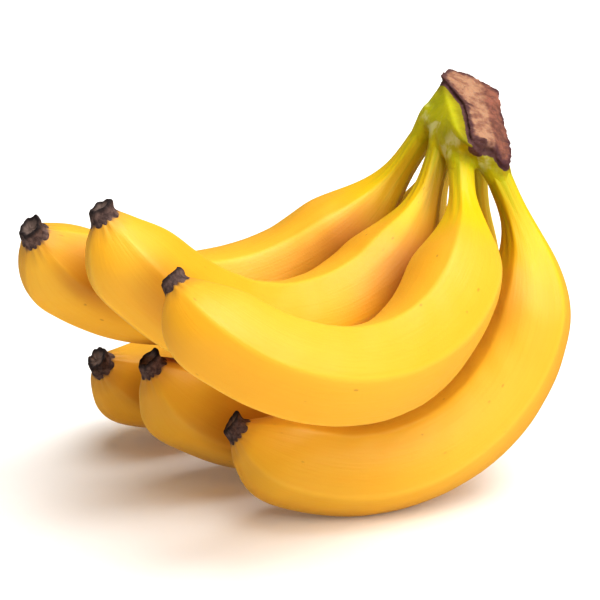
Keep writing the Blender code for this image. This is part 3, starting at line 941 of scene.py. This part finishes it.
def peel_material():
    """Ripe peel: gold and yellow, green at the neck, brown at the tip."""
    made = Shader("banana_peel")
    peel = made.attribute("peel", "Vector")
    ends = made.split(made.attribute("ends", "Vector"))
    from_root, from_tip = ends[0], ends[1]
    crest = made.attribute("crest")

    # Ripe yellow, with broad patches of a deeper tone.
    long_grain = made.vector("MULTIPLY", peel, (1.0, 1.0, 0.22))
    patch = made.noise(long_grain, 0.035, 2.0, 0.5)
    colour = made.mix(made.span(patch, 0.35, 0.68), PEEL_GOLD, PEEL_YELLOW)
    fibre = made.noise(made.vector("MULTIPLY", peel, (1.0, 1.0, 0.035)), 0.95, 3.0, 0.6)
    colour = made.mix(made.span(fibre, 0.40, 0.75, 0.0, 0.22), colour, PEEL_FIBRE)
    # Painted highlight: the ridge crests a paler, lighter yellow.
    colour = made.mix(made.math("MULTIPLY", crest, 0.30), colour, PEEL_CREST_HIGHLIGHT)

    colour = neck_colour(made, peel, from_root, colour)

    # Painted shade: darker, deeper orange where the fingers lie against each other, for the shade
    # in the creases between them.
    crease = made.span(made.attribute("crease"), 0.0, 1.0, 1.0, 0.0)
    crease = made.math("MULTIPLY", made.math("POWER", crease, 1.25),
                       made.span(from_root, 3.0, 34.0))
    colour = made.mix(crease, colour, made.vector("MULTIPLY", colour, PEEL_CREASE_SHADE))

    # Brown halo round the blossom end.
    lengthwise = made.vector("MULTIPLY", peel, (1.0, 1.0, 0.4))
    ragged = made.math("MULTIPLY_ADD", made.noise(lengthwise, 0.22, 3.0, 0.55), 3.0, -1.5)
    near = made.math("ADD", from_tip, ragged)
    colour = made.mix(made.span(near, 0.6, 7.0, 0.50, 0.0), colour, TIP_HALO)
    colour = made.mix(made.span(near, -0.2, 1.9, 1.0, 0.0), colour, TIP_RIM)

    # Small specks and faint rubs.
    speck = made.cells(made.vector("MULTIPLY", peel, (1.0, 1.0, 0.5)), 0.20)
    chosen = made.noise(peel, 0.13, 2.0)
    speck = made.math("MULTIPLY", made.span(speck, 0.045, 0.13, 1.0, 0.0),
                      made.span(chosen, 0.52, 0.62))
    colour = made.mix(made.math("MULTIPLY", speck, 0.45), colour, SPECK_BROWN)
    rub = made.noise(made.vector("MULTIPLY", peel, (1.0, 1.0, 0.3)), 0.16, 5.0, 0.7, 0.6)
    colour = made.mix(made.span(rub, 0.66, 0.78, 0.0, 0.35), colour, RUB_BROWN)

    grain = made.noise(made.vector("MULTIPLY", peel, (1.0, 1.0, 0.25)), 1.7, 4.0, 0.6)
    pores = made.cells(peel, 1.3)
    relief = made.bump(grain, 0.05 * MM, 0.55)
    relief = made.bump(fibre, 0.22 * MM, 0.55, relief)
    relief = made.bump(pores, 0.03 * MM, 0.5, relief)
    gloss = made.span(grain, 0.25, 0.8, 0.38, 0.50)
    gloss = made.math("ADD", gloss, made.math("MULTIPLY", crease, 0.20))
    made.set(Base_Color=colour, Roughness=gloss, Normal=relief, Subsurface_Weight=0.08,
             Subsurface_Scale=1.0, Specular_IOR_Level=0.36)
    made.main.inputs["Subsurface Radius"].default_value = SKIN_SCATTER
    return made.material


def stub_material():
    """Dry, dark, crumpled blossom remains."""
    made = Shader("dried_blossom_skin")
    place = made.place()
    blotch = made.noise(place, 420.0, 4.0, 0.65)
    colour = made.mix(made.span(blotch, 0.35, 0.68), STUB_DARK, STUB_GREY)
    height = made.attribute("height")
    colour = made.mix(made.span(height, 0.55, 1.0, 0.0, 0.85), colour, STUB_RIM)
    cup = made.attribute("cup")
    colour = made.mix(made.span(cup, 0.25, 0.9, 0.0, 0.65), colour, STUB_CUP)
    relief = made.bump(made.noise(place, 900.0, 5.0, 0.7), 0.25 * MM, 0.9)
    made.set(Base_Color=colour, Roughness=0.78, Normal=relief, Specular_IOR_Level=0.30)
    return made.material


def crown_material():
    """Green crown skin, and the dried flesh of the knife cut."""
    made = Shader("crown_skin")
    place = made.place()
    dried = made.attribute("dried")
    outer = made.attribute("outer")

    peel = made.attribute("peel", "Vector")
    from_root = made.attribute("from_root")
    broad = made.noise(place, 110.0, 3.0)
    green = made.mix(made.span(broad, 0.35, 0.7), CROWN_OLIVE, CROWN_LIME)
    neck = neck_colour(made, peel, from_root, green)
    green = made.mix(made.span(from_root, -5.0, 5.0), green, neck)
    # Painted highlight: pale patches at the knuckles, where the pedicels leave the crown.
    pale = made.noise(place, 170.0, 3.0, 0.5)
    knuckle = made.math("MULTIPLY", made.span(from_root, -6.0, -1.0),
                        made.span(from_root, 1.0, 7.0, 1.0, 0.0))
    pale = made.math("MULTIPLY", made.span(pale, 0.46, 0.62, 0.0, 0.60), knuckle)
    green = made.mix(pale, green, CROWN_KNUCKLE_HIGHLIGHT)

    mottle = made.noise(place, 230.0, 5.0, 0.65)
    flesh = made.mix(made.span(mottle, 0.34, 0.64), FLESH_BROWN, FLESH_TAN)
    mauve = made.mix(made.span(mottle, 0.36, 0.66), MAUVE_DARK, MAUVE_LIGHT)
    warped = made.math("MULTIPLY_ADD", made.noise(place, 160.0, 3.0), 5.0, -2.5)
    flesh = made.mix(made.span(made.math("ADD", outer, warped), 5.2, 7.2), flesh, mauve)
    dark = made.noise(place, 420.0, 4.0, 0.7, 0.5)
    flesh = made.mix(made.span(dark, 0.58, 0.74, 0.0, 0.55), flesh, FLESH_STAIN)
    rim = made.span(made.attribute("inside"), 0.7, 2.3, 1.0, 0.0)
    flesh = made.mix(made.math("MULTIPLY", rim, 0.85), flesh, CAP_RIM)
    shaded = made.vector("MULTIPLY", green, CROWN_SHADE)
    green = made.mix(made.span(dried, -4.5, -1.2, 0.0, 0.75), green, shaded)
    colour = made.mix(made.span(dried, -0.75, -0.35), green, flesh)

    relief = made.bump(made.noise(place, 520.0, 6.0, 0.7), 0.45 * MM, 0.8)
    made.set(Base_Color=colour, Roughness=made.span(dried, -0.2, 0.4, 0.45, 0.75), Normal=relief,
             Specular_IOR_Level=0.20, Subsurface_Weight=0.12, Subsurface_Scale=1.0)
    made.main.inputs["Subsurface Radius"].default_value = CROWN_SCATTER
    return made.material


def floor_material():
    """White paper, slightly luminous, so that its shadows stay pale."""
    made = Shader("white_surface")
    grain = made.noise(made.place(), 30.0, 4.0)
    colour = made.mix(made.span(grain, 0.3, 0.7), PAPER_LOW, PAPER_HIGH)
    made.set(Base_Color=colour, Roughness=0.75, Specular_IOR_Level=0.2,
             Emission_Color=PAPER_GLOW, Emission_Strength=PAPER_GLOW_STRENGTH)
    return made.material


# ---------------------------------------------------------------- the surroundings

def make_floor(height):
    """The white surface under the bunch, left out of glossy reflections."""
    work = bmesh.new()
    bmesh.ops.create_grid(work, x_segments=8, y_segments=8, size=4.0)
    mesh = bpy.data.meshes.new("floor")
    work.to_mesh(mesh)
    work.free()
    mesh.materials.append(floor_material())
    floor = bpy.data.objects.new("floor", mesh)
    floor.location = (0.0, 0.0, height)
    floor.visible_glossy = False
    bpy.context.scene.collection.objects.link(floor)
    floor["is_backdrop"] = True
    return floor


def camera_axes():
    """The camera's back, right and up directions."""
    back = Vector((math.sin(CAMERA_AZIMUTH) * math.cos(CAMERA_ELEVATION),
                   -math.cos(CAMERA_AZIMUTH) * math.cos(CAMERA_ELEVATION),
                   math.sin(CAMERA_ELEVATION)))
    right = Vector((math.cos(CAMERA_AZIMUTH), math.sin(CAMERA_AZIMUTH), 0.0))
    return back, right, back.cross(right)


def make_camera():
    """The camera at the photograph's angle."""
    back, right, up = camera_axes()
    target = right * CAMERA_RIGHT + up * CAMERA_UP + Vector((0.0, 0.0, CAMERA_HEIGHT))
    data = bpy.data.cameras.new("camera")
    data.sensor_width = 36.0
    data.lens = CAMERA_LENS
    data.clip_start = 0.05
    data.clip_end = 20.0
    made = bpy.data.objects.new("camera", data)
    made.location = target + back * CAMERA_DISTANCE
    made.rotation_mode = "QUATERNION"
    made.rotation_quaternion = back.to_track_quat("Z", "Y")
    bpy.context.scene.collection.objects.link(made)
    bpy.context.scene.camera = made


def add_sun(name, coming_from, softness, power, colour):
    """A wide sun from a direction given as shares of above, ahead and right."""
    back, right, _ = camera_axes()
    ahead = Vector((-back.x, -back.y, 0.0)).normalized()
    above = Vector((0.0, 0.0, 1.0))
    towards_light = coming_from[0] * above + coming_from[1] * ahead + coming_from[2] * right
    data = bpy.data.lights.new(name, "SUN")
    data.angle = math.radians(softness)
    data.energy = power
    data.color = colour
    made = bpy.data.objects.new(name, data)
    made.location = towards_light
    made.rotation_mode = "QUATERNION"
    made.rotation_quaternion = towards_light.to_track_quat("Z", "Y")
    bpy.context.scene.collection.objects.link(made)
    made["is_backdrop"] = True


def make_light():
    """Pale surroundings, and two wide suns for the studio's soft light."""
    world = bpy.data.worlds.new("studio")
    world.use_nodes = True
    background = world.node_tree.nodes["Background"]
    background.inputs["Color"].default_value = WORLD_COLOUR
    background.inputs["Strength"].default_value = WORLD_STRENGTH
    bpy.context.scene.world = world
    add_sun("softbox_above", KEY_FROM, KEY_SOFTNESS, KEY_STRENGTH, KEY_COLOUR)
    add_sun("softbox_front", FILL_FROM, FILL_SOFTNESS, FILL_STRENGTH, FILL_COLOUR)
    bpy.context.scene.view_settings.view_transform = "Standard"
    bpy.context.scene.view_settings.look = "Medium High Contrast"


def main():
    peel = peel_material()
    dried = stub_material()
    flesh = crown_material()
    fingers = [read_finger(name) for name in HORNS]
    skins = {finger["name"]: finger_skin(finger, seed) for seed, finger in enumerate(fingers, 1)}
    skins = press(skins)
    for seed, finger in enumerate(fingers, 1):
        make_finger(finger, seed, skins[finger["name"]], peel)
        make_stub(finger, seed, HORNS[finger["name"]], dried)
    make_crown(fingers, flesh)
    make_floor(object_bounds()[0][2])
    make_camera()
    make_light()


main()
